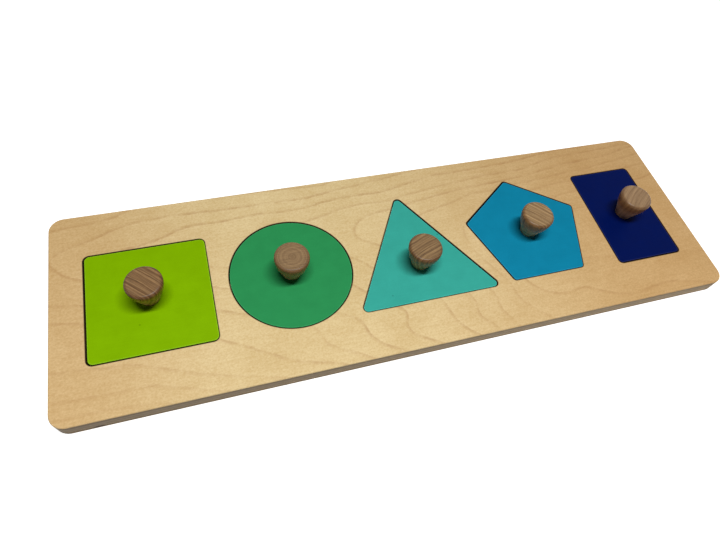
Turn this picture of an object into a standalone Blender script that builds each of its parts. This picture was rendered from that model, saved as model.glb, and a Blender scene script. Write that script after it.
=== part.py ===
"""A wooden shape puzzle: a long board with five cut-outs, and a painted tile with a knob in each.

Metres, +Z up. The board lies along X with its front edge towards -Y and its underside at Z = 0.
"""
import math

import bmesh
import bpy
from mathutils import Matrix, Vector
from mathutils.geometry import intersect_point_line

# The board: a frame with the cut-outs, glued on a thin backing
SHEET_THICKNESS = 0.0070
BACKING_THICKNESS = 0.0027
BOARD_CORNER_RADIUS = 0.0082
BOARD_EDGE_EASE = 0.0006
END_MARGIN = 0.01764
SIDE_MARGIN = 0.02164

# The cut-outs, from left to right, as if their corners were sharp
SQUARE_SIDE = 0.0671
SQUARE_CORNER = 0.0035
ROUND_RADIUS = 0.0359
TRIANGLE_SIDE = 0.0896
TRIANGLE_CORNER = 0.0030
TRIANGLE_DROP = 0.0089
PENTAGON_RADIUS = 0.04145
PENTAGON_CORNER = 0.0025
RECTANGLE_WIDTH = 0.0468
RECTANGLE_DEPTH = 0.0730
RECTANGLE_CORNER = 0.0030

# The least wood left between one cut-out and the next
SQUARE_ROUND_WEB = 0.0096
ROUND_TRIANGLE_WEB = 0.0096
TRIANGLE_PENTAGON_WEB = 0.0099
PENTAGON_RECTANGLE_WEB = 0.0110

# The knobs
KNOB_HEIGHT = 0.0173
KNOB_HEAD_RADIUS = 0.0100
KNOB_NECK_RADIUS = 0.0054
KNOB_RIM_RADIUS = 0.0016
KNOB_FLANK_POWER = 1.25

# The countersunk screw under each knob
SCREW_LENGTH = 0.0160
SCREW_HEAD_RADIUS = 0.0035
SCREW_SHANK_RADIUS = 0.0015
SCREW_HEAD_RIM = 0.0003
SCREW_TIP_LENGTH = 0.0030
SCREW_SINK = 0.0002
RECESS_SPAN = 0.0036
RECESS_WIDTH = 0.0008
RECESS_DEPTH = 0.0012

# Clearances
TILE_CLEARANCE = 0.0006
SCREW_CLEARANCE = 0.0003
SEAT_GAP = 0.0003
TILE_EDGE_EASE = 0.0003

# Fineness of the round stretches
CORNER_STEPS = 6
CIRCLE_STEPS = 72
KNOB_STEPS = 32
FLANK_STEPS = 8
RIM_STEPS = 3
SCREW_STEPS = 20
EASE_SEGMENTS = 2
CUT_OVERRUN = 0.001
PLACING_ROUNDS = 40
WELD_DISTANCE = 0.000001
SMOOTH_ANGLE = math.radians(35)

PLYWOOD = ("DDB985", 0.55, 0.0)
BEECH = ("A98B69", 0.50, 0.0)
STEEL = ("C9CBCC", 0.30, 1.0)
PAINT_ROUGHNESS = 0.35

PARTS = "shape_puzzle"
CUTTERS = "cutters"


class Cutout:
    """One cut-out: its corners and radius seen from the knob's axis, and how its tile lies in it."""

    def __init__(self, name, corners, radius, paint, sits=(0.0, 0.0), drop=0.0):
        self.name = name
        self.corners = corners
        self.radius = radius
        self.paint = paint
        # The tile's shift towards +X and +Y, as shares of the clearance round it
        self.sits = sits
        self.centre = Vector((0.0, -drop))

    def outline(self, inset=0.0):
        """Points round the cut-out, or round its tile when drawn in by the clearance."""
        if self.corners:
            return rounded_polygon(drawn_in(self.corners, inset), self.radius - inset)
        return [
            Matrix.Rotation(math.tau * step / CIRCLE_STEPS, 2) @ Vector((self.radius - inset, 0.0))
            for step in range(CIRCLE_STEPS)
        ]

    def placed_outline(self):
        return [self.centre + point for point in self.outline()]

    def tile_centre(self):
        return self.centre + Vector(self.sits) * TILE_CLEARANCE


def regular_corners(count, radius):
    """The corners of a regular polygon that stands with one corner towards +Y."""
    turns = [math.tau * (index / count + 0.25) for index in range(count)]
    return [Vector((math.cos(turn), math.sin(turn))) * radius for turn in turns]


def rectangle_corners(width, depth):
    signs = ((-1, -1), (1, -1), (1, 1), (-1, 1))
    return [Vector((x * width / 2, y * depth / 2)) for x, y in signs]


def corner_bisectors(corners):
    """For each corner: the corner, the ways to its neighbours, the way inwards and half its angle."""
    for index, corner in enumerate(corners):
        before = (corners[index - 1] - corner).normalized()
        after = (corners[(index + 1) % len(corners)] - corner).normalized()
        yield corner, before, (before + after).normalized(), before.angle(after) / 2


def drawn_in(corners, inset):
    """The corners of a polygon whose sides all lie further in by the inset."""
    return [
        corner + inwards * inset / math.sin(half_angle)
        for corner, _, inwards, half_angle in corner_bisectors(corners)
    ]


def rounded_polygon(corners, radius):
    """Points round a polygon, anticlockwise, with an arc of the radius at each corner."""
    points = []
    for corner, before, inwards, half_angle in corner_bisectors(corners):
        centre = corner + inwards * radius / math.sin(half_angle)
        spoke = corner + before * radius / math.tan(half_angle) - centre
        sweep = math.pi - 2 * half_angle
        for step in range(CORNER_STEPS + 1):
            points.append(centre + Matrix.Rotation(sweep * step / CORNER_STEPS, 2) @ spoke)
    return points


def least_gap(first, second):
    """The least distance between two outlines that don't meet."""
    gaps = []
    for points, sides in ((first, second), (second, first)):
        for start, end in zip(sides, sides[1:] + sides[:1]):
            for point in points:
                _, share = intersect_point_line(point, start, end)
                nearest = start.lerp(end, min(max(share, 0.0), 1.0))
                gaps.append((point - nearest).length)
    return min(gaps)


def lay_out_row(cutouts, webs):
    """Moves each cut-out along X until the web is left before it, then centres the row on X = 0."""
    for previous, cutout, web in zip(cutouts, cutouts[1:], webs):
        previous_end = max(point.x for point in previous.placed_outline())
        start = min(point.x for point in cutout.placed_outline())
        cutout.centre.x += previous_end - start + web
        for _ in range(PLACING_ROUNDS):
            cutout.centre.x -= least_gap(previous.placed_outline(), cutout.placed_outline()) - web
    row_start = min(point.x for point in cutouts[0].placed_outline())
    row_end = max(point.x for point in cutouts[-1].placed_outline())
    for cutout in cutouts:
        cutout.centre.x -= (row_start + row_end) / 2


def board_size(cutouts):
    """The board's length and width: the row of cut-outs with its margins, alike on both sides."""
    points = [point for cutout in cutouts for point in cutout.placed_outline()]
    length = 2 * (max(abs(point.x) for point in points) + END_MARGIN)
    width = 2 * (max(abs(point.y) for point in points) + SIDE_MARGIN)
    return length, width


def collection(name):
    made = bpy.data.collections.new(name)
    bpy.context.scene.collection.children.link(made)
    return made


def linear_colour(hex_code):
    """A six-digit sRGB colour as the linear colour that a shader takes."""
    channels = [int(hex_code[start:start + 2], 16) / 255 for start in (0, 2, 4)]
    return [
        channel / 12.92 if channel <= 0.04045 else ((channel + 0.055) / 1.055) ** 2.4
        for channel in channels
    ] + [1.0]


def finish(piece, hex_code, roughness, metallic):
    material = bpy.data.materials.new(piece.name)
    material.use_nodes = True
    shader = material.node_tree.nodes["Principled BSDF"]
    shader.inputs["Base Color"].default_value = linear_colour(hex_code)
    shader.inputs["Roughness"].default_value = roughness
    shader.inputs["Metallic"].default_value = metallic
    piece.data.materials.clear()
    piece.data.materials.append(material)


def add_object(name, data, collection_name, location=(0.0, 0.0, 0.0), parent=None):
    made = bpy.data.objects.new(name, data)
    made.location = location
    made.parent = parent
    bpy.data.collections[collection_name].objects.link(made)
    return made


def evaluated_mesh(source):
    """The mesh that an object's curve or modifiers make. The object itself is removed."""
    bpy.context.view_layer.update()
    depsgraph = bpy.context.evaluated_depsgraph_get()
    mesh = bpy.data.meshes.new_from_object(source.evaluated_get(depsgraph), depsgraph=depsgraph)
    bpy.data.objects.remove(source)
    return mesh


def plate_mesh(name, outline, bottom, top):
    """A flat plate of the outline between two heights."""
    curve = bpy.data.curves.new(name, "CURVE")
    curve.dimensions = "2D"
    curve.fill_mode = "BOTH"
    curve.extrude = (top - bottom) / 2
    spline = curve.splines.new("POLY")
    spline.points.add(len(outline) - 1)
    for spline_point, point in zip(spline.points, outline):
        spline_point.co = (point.x, point.y, 0.0, 1.0)
    spline.use_cyclic_u = True
    mesh = evaluated_mesh(add_object(name, curve, PARTS))
    mesh.name = name
    mesh.transform(Matrix.Translation((0.0, 0.0, (bottom + top) / 2)))
    shape = bmesh.new()
    shape.from_mesh(mesh)
    bmesh.ops.remove_doubles(shape, verts=shape.verts, dist=WELD_DISTANCE)
    bmesh.ops.recalc_face_normals(shape, faces=shape.faces)
    shape.to_mesh(mesh)
    shape.free()
    return mesh


def ease_rim(piece, height, ease):
    """Rounds the edges of a plate that run round it at one height."""
    weights = piece.data.attributes.new("bevel_weight_edge", "FLOAT", "EDGE")
    for edge in piece.data.edges:
        ends = [piece.data.vertices[index].co.z for index in edge.vertices]
        at_height = all(abs(end - height) < WELD_DISTANCE for end in ends)
        weights.data[edge.index].value = 1.0 if at_height else 0.0
    bevel = piece.modifiers.new("eased rim", "BEVEL")
    bevel.limit_method = "WEIGHT"
    bevel.width = ease
    bevel.segments = EASE_SEGMENTS


def ease_edges(piece, ease):
    """Rounds every sharp edge of a piece."""
    bevel = piece.modifiers.new("eased edges", "BEVEL")
    bevel.limit_method = "ANGLE"
    bevel.width = ease
    bevel.segments = EASE_SEGMENTS


def cut(piece, cutter):
    cutter.hide_render = True
    cutter.display_type = "WIRE"
    boolean = piece.modifiers.new(cutter.name, "BOOLEAN")
    boolean.operation = "DIFFERENCE"
    boolean.solver = "EXACT"
    boolean.object = cutter


def turned_mesh(name, profile, steps):
    """A solid turned about Z from a profile of (radius, height) that runs down its outer side."""
    mesh = bpy.data.meshes.new(name)
    vertices = [(radius, 0.0, height) for radius, height in profile]
    mesh.from_pydata(vertices, [(index, index + 1) for index in range(len(profile) - 1)], [])
    source = add_object(name, mesh, PARTS)
    screw = source.modifiers.new("turned", "SCREW")
    screw.axis = "Z"
    screw.steps = steps
    screw.render_steps = steps
    screw.use_merge_vertices = True
    screw.merge_threshold = WELD_DISTANCE
    turned = evaluated_mesh(source)
    turned.name = name
    turned.shade_smooth()
    turned.set_sharp_from_angle(angle=SMOOTH_ANGLE)
    return turned


def screw_profile():
    """Tip, shank and 45 degree head, from the tip at the top down to the head's face at 0."""
    cone_top = SCREW_HEAD_RIM + SCREW_HEAD_RADIUS - SCREW_SHANK_RADIUS
    return [
        (0.0, SCREW_LENGTH),
        (SCREW_SHANK_RADIUS, SCREW_LENGTH - SCREW_TIP_LENGTH),
        (SCREW_SHANK_RADIUS, cone_top),
        (SCREW_HEAD_RADIUS, SCREW_HEAD_RIM),
        (SCREW_HEAD_RADIUS, 0.0),
        (0.0, 0.0),
    ]


def screw_hole_profile():
    """The tile's hole for the screw: its shank and head with the clearance all round."""
    shank_hole = SCREW_SHANK_RADIUS + SCREW_CLEARANCE
    head_hole = SCREW_HEAD_RADIUS + SCREW_CLEARANCE
    slope = SCREW_HEAD_RIM + SCREW_HEAD_RADIUS + SCREW_CLEARANCE * math.sqrt(2)
    bottom = -SCREW_SINK - CUT_OVERRUN
    return [
        (0.0, SHEET_THICKNESS + CUT_OVERRUN),
        (shank_hole, SHEET_THICKNESS + CUT_OVERRUN),
        (shank_hole, slope - shank_hole),
        (head_hole, slope - head_hole),
        (head_hole, bottom),
        (0.0, bottom),
    ]


def knob_profile():
    """Flat head, rounded rim, flank drawn in to the neck, and the blind hole for the screw."""
    rim_centre = KNOB_HEAD_RADIUS - KNOB_RIM_RADIUS
    flank_height = KNOB_HEIGHT - KNOB_RIM_RADIUS
    hole_radius = SCREW_SHANK_RADIUS + SCREW_CLEARANCE
    tile_to_knob = SHEET_THICKNESS + SEAT_GAP
    hole_depth = SCREW_SINK + SCREW_LENGTH - tile_to_knob + SCREW_CLEARANCE
    profile = [(0.0, KNOB_HEIGHT)]
    for step in range(RIM_STEPS):
        turn = math.pi / 2 * (1 - step / RIM_STEPS)
        x = rim_centre + KNOB_RIM_RADIUS * math.cos(turn)
        profile.append((x, flank_height + KNOB_RIM_RADIUS * math.sin(turn)))
    for step in range(FLANK_STEPS, -1, -1):
        share = step / FLANK_STEPS
        swell = math.sin(math.pi / 2 * share ** KNOB_FLANK_POWER)
        x = KNOB_NECK_RADIUS + (KNOB_HEAD_RADIUS - KNOB_NECK_RADIUS) * swell
        profile.append((x, flank_height * share))
    return profile + [(hole_radius, 0.0), (hole_radius, hole_depth), (0.0, hole_depth)]


def screw_mesh():
    """The screw with a cross recess in its head."""
    source = add_object("screw_blank", turned_mesh("screw_blank", screw_profile(), SCREW_STEPS), PARTS)
    arms = []
    for size in ((RECESS_SPAN, RECESS_WIDTH), (RECESS_WIDTH, RECESS_SPAN)):
        bar = bmesh.new()
        bmesh.ops.create_cube(bar, size=1.0, matrix=Matrix.Diagonal((*size, 2 * RECESS_DEPTH, 1.0)))
        mesh = bpy.data.meshes.new("recess_arm")
        bar.to_mesh(mesh)
        bar.free()
        arms.append(add_object("recess_arm", mesh, CUTTERS))
        cut(source, arms[-1])
    mesh = evaluated_mesh(source)
    for arm in arms:
        bpy.data.objects.remove(arm)
    return mesh


def make_board(cutouts):
    """The frame with its cut-outs, and the backing that closes them from below."""
    length, width = board_size(cutouts)
    outline = rounded_polygon(rectangle_corners(length, width), BOARD_CORNER_RADIUS)
    frame_bottom = BACKING_THICKNESS + SEAT_GAP
    frame_top = frame_bottom + SHEET_THICKNESS

    backing = add_object(
        "backing_board", plate_mesh("backing_board", outline, 0.0, BACKING_THICKNESS), PARTS
    )
    ease_rim(backing, 0.0, BOARD_EDGE_EASE)
    finish(backing, *PLYWOOD)

    frame = add_object("frame_board", plate_mesh("frame_board", outline, frame_bottom, frame_top), PARTS)
    ease_rim(frame, frame_top, BOARD_EDGE_EASE)
    finish(frame, *PLYWOOD)
    for cutout in cutouts:
        name = cutout.name + "_cutter"
        mesh = plate_mesh(name, cutout.outline(), frame_bottom - CUT_OVERRUN, frame_top + CUT_OVERRUN)
        cut(frame, add_object(name, mesh, CUTTERS, (*cutout.centre, 0.0)))


def make_piece(cutout, knob, screw, hole):
    """A tile with its knob on top and the screw that holds it from below, on one upright axis."""
    tile_bottom = BACKING_THICKNESS + SEAT_GAP
    lift = add_object(cutout.name + "_lift", None, PARTS, (*cutout.tile_centre(), tile_bottom))
    carrier = lift
    if not cutout.corners:
        carrier = add_object(cutout.name + "_turn", None, PARTS, parent=lift)

    name = cutout.name + "_tile"
    tile_mesh = plate_mesh(name, cutout.outline(TILE_CLEARANCE), 0.0, SHEET_THICKNESS)
    tile = add_object(name, tile_mesh, PARTS, parent=carrier)
    ease_edges(tile, TILE_EDGE_EASE)
    cut(tile, add_object(cutout.name + "_hole_cutter", hole, CUTTERS, (0.0, 0.0, SCREW_SINK), carrier))
    finish(tile, cutout.paint, PAINT_ROUGHNESS, 0.0)

    knob_seat = (0.0, 0.0, SHEET_THICKNESS + SEAT_GAP)
    turned_knob = add_object(cutout.name + "_knob", knob.copy(), PARTS, knob_seat, carrier)
    finish(turned_knob, *BEECH)
    holding_screw = add_object(cutout.name + "_screw", screw.copy(), PARTS, (0.0, 0.0, SCREW_SINK), lift)
    finish(holding_screw, *STEEL)


def main():
    for old in list(bpy.data.objects):
        bpy.data.objects.remove(old)
    collection(PARTS)
    collection(CUTTERS).hide_render = True

    triangle_radius = TRIANGLE_SIDE / math.sqrt(3)
    cutouts = [
        Cutout("square", rectangle_corners(SQUARE_SIDE, SQUARE_SIDE), SQUARE_CORNER, "86B601", (0.5, 0.1)),
        Cutout("round", None, ROUND_RADIUS, "32975A", (0.0, -0.15)),
        Cutout("triangle", regular_corners(3, triangle_radius), TRIANGLE_CORNER, "3CAC98", (-0.3, -0.4),
               TRIANGLE_DROP),
        Cutout("pentagon", regular_corners(5, PENTAGON_RADIUS), PENTAGON_CORNER, "1183A8", (0.5, -0.3)),
        Cutout("rectangle", rectangle_corners(RECTANGLE_WIDTH, RECTANGLE_DEPTH), RECTANGLE_CORNER,
               "06154D", (0.0, 0.35)),
    ]
    webs = (SQUARE_ROUND_WEB, ROUND_TRIANGLE_WEB, TRIANGLE_PENTAGON_WEB, PENTAGON_RECTANGLE_WEB)
    lay_out_row(cutouts, webs)
    make_board(cutouts)

    knob = turned_mesh("knob", knob_profile(), KNOB_STEPS)
    hole = turned_mesh("screw_hole", screw_hole_profile(), SCREW_STEPS)
    screw = screw_mesh()
    for cutout in cutouts:
        make_piece(cutout, knob, screw, hole)


main()
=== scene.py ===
"""The looks of the wooden shape puzzle: its fine meshes, its finishes, and the floor, lamp and camera.

Metres, +Z up, in the frame's axes: the board lies along X with its front edge towards -Y.
"""
import math
from functools import partial
from typing import NamedTuple

import bmesh
import bpy
import numpy as np
from bpy.props import FloatProperty, FloatVectorProperty, IntProperty, PointerProperty
from mathutils import Matrix, Vector
from mathutils.geometry import delaunay_2d_cdt


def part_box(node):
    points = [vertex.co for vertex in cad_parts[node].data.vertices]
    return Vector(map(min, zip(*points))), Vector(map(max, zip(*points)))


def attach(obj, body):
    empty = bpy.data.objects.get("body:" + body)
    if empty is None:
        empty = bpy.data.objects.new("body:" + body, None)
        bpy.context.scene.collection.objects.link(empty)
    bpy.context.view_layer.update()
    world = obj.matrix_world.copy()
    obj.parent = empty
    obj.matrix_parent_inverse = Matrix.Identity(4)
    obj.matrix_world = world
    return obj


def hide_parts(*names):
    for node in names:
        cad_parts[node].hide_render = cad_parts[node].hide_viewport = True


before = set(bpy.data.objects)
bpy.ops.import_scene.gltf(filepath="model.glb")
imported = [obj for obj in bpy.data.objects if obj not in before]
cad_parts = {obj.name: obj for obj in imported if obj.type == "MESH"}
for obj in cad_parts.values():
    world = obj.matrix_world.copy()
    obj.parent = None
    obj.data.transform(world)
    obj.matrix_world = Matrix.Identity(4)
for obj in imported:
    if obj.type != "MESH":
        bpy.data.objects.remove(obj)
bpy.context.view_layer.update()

bl_info = {
    "name": "Wooden shape puzzle",
    "version": (1, 0, 0),
    "blender": (4, 5, 0),
    "location": "3D View > Sidebar > Puzzle",
    "description": "Builds a board with five painted tiles that lift out by turned knobs",
    "category": "Add Mesh",
}

MILLIMETRE = 0.001

FRAME_LOW, FRAME_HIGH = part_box("frame_board")
BACKING_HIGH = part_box("backing_board")[1]
KNOB_LOW, KNOB_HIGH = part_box("square_knob")
SCREW_LOW, SCREW_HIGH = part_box("square_screw")
TILE_LOW, TILE_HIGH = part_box("square_tile")

# Fineness of the round stretches
CORNER_STEPS = 12
CIRCLE_STEPS = 144
KNOB_STEPS = 96
SCREW_STEPS = 48
EASE_STEPS = 4
RIM_STEPS = 8
FLANK_STEPS = 24
THREAD_ROWS_PER_TURN = 12

# How finely the sides and faces are cut up where they carry the wood's figure
SIDE_STEP = 2.0 * MILLIMETRE
FACE_GRID = 2.0 * MILLIMETRE
HIDDEN_GRID = 3.0 * MILLIMETRE
# The share of a grid's spacing that is left free beside an outline
GRID_MARGIN = 0.3
WELD_DISTANCE = 0.000001

# The film left between two pieces that touch
GLUE_LINE = 0.02 * MILLIMETRE
# A cross recess narrows to this share of its width at its bottom
RECESS_TAPER = 0.55
# Twice the thread's height over its foot, as a share of the pitch, and the blunt end of the tip
THREAD_SHARPNESS = 1.8
TIP_RADIUS = 0.1 * MILLIMETRE
# How far the painted highlight along the tile's top edge reaches, against the tile's eased edge
HIGHLIGHT_REACH = 1.2

# The growth lines of the face veneer, traced in millimetres over the board from its centre.
# Each line has a number, which grows from ring to ring; two stretches of one ring share it.
GROWTH_LINES = (
    (-8, ((-175, -57.5), (-150, -60))),
    (-7, ((-188, -49.5), (-152, -50.5), (-125, -59))),
    (-6, ((-199, -32.5), (-158, -37.5), (-130, -49), (-88, -61))),
    (-5, ((-199, -5), (-184, -8), (-116, -32.5), (-78, -54), (-52, -62))),
    (-4, ((-198, 54), (-165, 57.5), (-154, 62))),
    (-4, ((-92, 62), (-38, 60))),
    (-4, ((-199, 5.5), (-114, -15.5), (-82, -28), (-65, -36), (-59, -49), (-40, -60))),
    (-3, ((-195, 37.5), (-160, 50.5), (-138, 52.5), (-55, 51), (25, 61))),
    (-3, ((-199, 31), (-196, 27.5), (-184, 19), (-114, -0.5), (-75, -15.5), (-38, -39), (-32, -52.5),
          (-18, -62))),
    (-2, ((-152, 34.5), (-122, 43), (0, 47.5), (38, 54.5), (88, 56), (132, 60.5))),
    (-2, ((-172, 25.5), (-105, 11), (-75, 1), (-38, -15), (-11, -39), (-13, -47.5), (-11, -52.5), (0, -60))),
    (-1, ((-65, 25), (-55, 33), (-25, 39.5), (0, 40), (75, 48.5), (100, 48.5), (132, 55), (198, 58))),
    (-1, ((-60, 16), (-34, 4), (12, -36), (18, -52.5), (26, -62))),
    (0, ((-26, 20), (-21, 27.5), (-12, 31), (50, 40), (100, 42.5), (132, 47.5), (170, 50), (198, 55))),
    (0, ((-25, 16), (-15, 9), (30, -36), (32, -44), (31, -50), (40, -62))),
    (1, ((12, 21), (18, 24.5), (62, 35), (150, 41), (198, 47))),
    (1, ((12, 11), (44, -36), (46, -42.5), (46, -50), (52, -62))),
    (2, ((65, 21), (108, 31), (198, 38))),
    (2, ((46, -10), (58, -34), (59, -42.5), (68, -55), (75, -62))),
    (3, ((82, 12.5), (122, 22.5), (185, 25), (198, 27.5))),
    (3, ((65, -22.5), (69, -34), (72, -39), (78, -44), (88, -47.5), (102, -46.5), (125, -56), (132, -57.5),
         (162, -54.5), (188, -60.5))),
    (4, ((112, -27), (190, -37.5))),
    (4, ((128, 9), (190, 12.5))),
)
# How dark each line is, against the darkest, from the lowest number to the highest
LINE_NUMBERS = range(-8, 5)
LINE_DEPTHS = (0.3, 0.4, 0.5, 0.8, 0.7, 0.9, 1.0, 0.7, 0.9, 0.6, 0.5, 0.7, 0.4)
# No ring is taken to be wider than this, and the lines are worked out for so many batches of places
WIDEST_RING = 60 * MILLIMETRE
PLACE_BATCHES = 8
# How far the tiles' figure lies from the frame's
TILE_FIGURE_SHIFT = (0.02, 0.006)

# The setting that holds the mode of each kind of node
MODES = {
    "Math": "operation", "VectorMath": "operation", "Mix": "data_type", "MapRange": "interpolation_type",
}
# The stretch of values that a noise fills
NOISE_SPAN = (0.3, 0.7)
WOOD_IOR = 1.5
# How far a growth line wanders, and over what lengths its colour deepens and drops off
LINE_WANDER = 1.4 * MILLIMETRE
LINE_RISE = 2.4 * MILLIMETRE
LINE_FALL = 0.8 * MILLIMETRE
# Where the veneer is painted palest, as a painted pool of light, and what its darkest and lightest spots
# multiply the wood's colour by
PAINTED_LIGHT_PEAK_X = -0.075
VENEER_DARK = (0.86, 0.80, 0.69, 1.0)
VENEER_LIGHT = (1.14, 1.20, 1.31, 1.0)
# The edge's plies by the share of its height at which each starts: three of 0.9 mm in the backing and
# five of about 1.45 mm in the frame. 1 is a ply along the board, 0 one across it, and 0.5 is glue.
GLUE_SHADE = 0.5
PLY_BANDS = (
    (0.0, 1.0), (0.088, 0.5), (0.095, 0.0), (0.176, 0.5), (0.183, 1.0), (0.266, 0.5), (0.276, 1.0),
    (0.414, 0.5), (0.424, 0.0), (0.559, 0.5), (0.569, 1.0), (0.704, 0.5), (0.714, 0.0), (0.849, 0.5),
    (0.859, 1.0),
)
# A pin knot on the front edge, and the nicks in the paint: where they are, and how far they reach
KNOT_PLACE = (-0.179, -0.0625, 0.0021)
KNOT_REACH = (0.0030, 0.0040, 0.0013)
NICKS = {
    "square": (((-0.155, -0.0155, 0.010), 0.0006),),
    "triangle": (((-0.016, -0.0275, 0.010), 0.0006), ((0.025, 0.0085, 0.010), 0.0007)),
}

# The camera of the photograph, solved from the board's straight edges; its turn is in degrees
CAMERA_PLACE = (-0.10435, -0.15693, 0.28238)
CAMERA_TURN = (30.986, -6.482, -15.657)
# The lamp is brightest straight ahead. It leans forwards and to the left, so the board darkens a little
# towards its back and its right end; the turns are in degrees.
LAMP_PLACE = (-0.02, -0.08, 1.00)
LAMP_TURN = (-42.0, 20.0, 0.0)
# The floor, and the distances from the board's centre between which the camera sees it turn white
FLOOR_REACH = 3.0
FLOOR_NEAR = 0.25
FLOOR_FAR = 0.60
FLOOR_DROP = 0.1 * MILLIMETRE
SENSOR_WIDTH = 36.0
NEAREST_SEEN = 0.01


class KnobWood(NamedTuple):
    """How the growth rings lie in one knob: the stripes' turn in degrees, and lengths in metres."""

    stripe_turn: float
    ring_spacing: float
    pith_distance: float
    bend: float
    contrast: float
    streaks: float
    pale: str
    dark: str


# Where the knobs' rounded rim gets its darker tint, partly painted shade, and its polish, as distances from
# the knob's axis
RUBBED_AND_SHADED_FROM = 0.0080
RUBBED_AND_SHADED_TO = 0.0096
RUBBED_AND_SHADED_TINT = (0.64, 0.53, 0.42)
RUBBED_ROUGHNESS = 0.27
# How much paler the flank is than the head: partly the flank's side grain against the head's end grain,
# partly painted light on the flank
SIDE_GRAIN_AND_LIGHT_TONE = 1.45
KNOB_WOODS = {
    "square": KnobWood(-44.0, 0.0013, 0.060, 0.5, 0.8, 0.34, "9C7A53", "644628"),
    "round": KnobWood(0.0, 0.0011, 0.0004, 1.0, 0.8, 0.22, "9D7F5A", "7B6041"),
    "triangle": KnobWood(21.0, 0.0012, 0.045, 0.5, 0.95, 0.32, "9B7C55", "705537"),
    "pentagon": KnobWood(-47.0, 0.0013, 0.040, 0.5, 0.9, 0.32, "B19168", "856743"),
    "rectangle": KnobWood(38.0, 0.0020, 0.050, 0.8, 0.6, 0.18, "AB8B67", "87694A"),
}


def linear_colour(hex_code):
    """A six-digit sRGB colour as the linear colour that a shader takes."""
    channels = [int(hex_code[start:start + 2], 16) / 255 for start in (0, 2, 4)]
    return tuple(
        channel / 12.92 if channel <= 0.04045 else ((channel + 0.055) / 1.055) ** 2.4
        for channel in channels
    ) + (1.0,)


def number_setting(name, default, description, **limits):
    return FloatProperty(name=name, default=default, description=description, **limits)


def length_setting(name, default, description):
    return number_setting(
        name, default, description, min=0.0, precision=5, subtype="DISTANCE", unit="LENGTH"
    )


def colour_setting(name, hex_code, description):
    return FloatVectorProperty(
        name=name, description=description, default=linear_colour(hex_code), min=0.0, max=1.0,
        size=4, subtype="COLOR",
    )


class PuzzleBoardSettings(bpy.types.PropertyGroup):
    """The frame with its cut-outs and the backing glued under it."""

    corner_radius: length_setting("Corner radius", 0.0082, "Radius of the board's four corners")
    edge_ease: length_setting("Edge ease", 0.0006, "Radius sanded on the board's outer edges")
    cut_ease: length_setting("Cut ease", 0.00012, "Bevel left on the upper edge of each cut-out")
    toasted_width: length_setting("Toasted width", 0.0005, "How far the laser browns the face beside a cut")
    # The veneer's colour holds painted light: palest left of the middle, where the light falls brightest, and
    # darker and warmer towards both ends, partly the wood's own tone and partly painted shade
    face: colour_setting("Veneer", "E9CE97", "Maple face veneer, where it is palest")
    face_shaded_warm: colour_setting("Warm veneer", "D6AD75", "Maple face veneer towards the ends of the board")
    growth_line: colour_setting("Growth line", "AC7744", "The dark line at the end of a year's growth")
    ply_long: colour_setting("Long-grain ply", "9D896A", "A ply seen along its fibres on the board's edge")
    ply_end: colour_setting("End-grain ply", "8F795D", "A ply seen across its fibres on the board's edge")
    burnt: colour_setting("Laser-cut wood", "2A1A10", "The walls that the laser has burnt")


class PuzzleTileSettings(bpy.types.PropertyGroup):
    """The five painted tiles."""

    clearance: length_setting("Clearance", 0.0006, "Gap between a tile and its cut-out, all round")
    edge_ease: length_setting("Edge ease", 0.0003, "Radius sanded on the tiles' edges under the paint")
    head_hole: length_setting("Screw head hole", 0.0038, "Radius of the countersunk hole under the tile")
    shank_hole: length_setting("Screw shank hole", 0.0018, "Radius of the hole for the screw's shank")
    square: colour_setting("Square", "88BB00", "Lime paint of the square tile")
    round: colour_setting("Round", "2F9757", "Green paint of the round tile")
    triangle: colour_setting("Triangle", "3DB1A1", "Teal paint of the triangular tile")
    pentagon: colour_setting("Pentagon", "118AAE", "Blue paint of the pentagonal tile")
    rectangle: colour_setting("Rectangle", "021453", "Navy paint of the rectangular tile")


class PuzzleKnobSettings(bpy.types.PropertyGroup):
    """The five turned knobs."""

    head_radius: length_setting("Head radius", 0.0100, "Radius of the knob's flat head")
    neck_radius: length_setting("Neck radius", 0.0054, "Radius of the knob where it stands on the tile")
    rim_radius: length_setting("Rim radius", 0.0016, "Radius turned on the edge of the head")
    bore_depth: length_setting("Bore depth", 0.0092, "Depth of the blind hole for the screw")
    flank_power: number_setting(
        "Flank power", 1.25, "How late the flank swells from the neck to the head", min=0.5, max=3.0
    )
    steps: IntProperty(
        name="Steps", description="Faces round the knob", default=KNOB_STEPS, min=12, max=256,
    )


class PuzzleScrewSettings(bpy.types.PropertyGroup):
    """The countersunk wood screw that holds each knob from below."""

    head_radius: length_setting("Head radius", 0.0035, "Radius of the screw's flat head")
    head_rim: length_setting("Head rim", 0.0003, "Height of the head's straight rim")
    core_radius: length_setting("Core radius", 0.0012, "Radius of the shank between the threads")
    thread_radius: length_setting("Thread radius", 0.00172, "Radius over the thread's crest")
    thread_pitch: length_setting("Thread pitch", 0.0014, "Distance from one thread to the next")
    tip_length: length_setting("Tip length", 0.0030, "Length of the tapered tip")
    recess_span: length_setting("Recess span", 0.0036, "Length of each arm of the cross recess, end to end")
    recess_width: length_setting("Recess width", 0.0008, "Width of the recess's arms at the head's face")
    recess_depth: length_setting("Recess depth", 0.0012, "Depth of the cross recess")
    plating: colour_setting("Plating", "C9CBCC", "Bright zinc plating")


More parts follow.
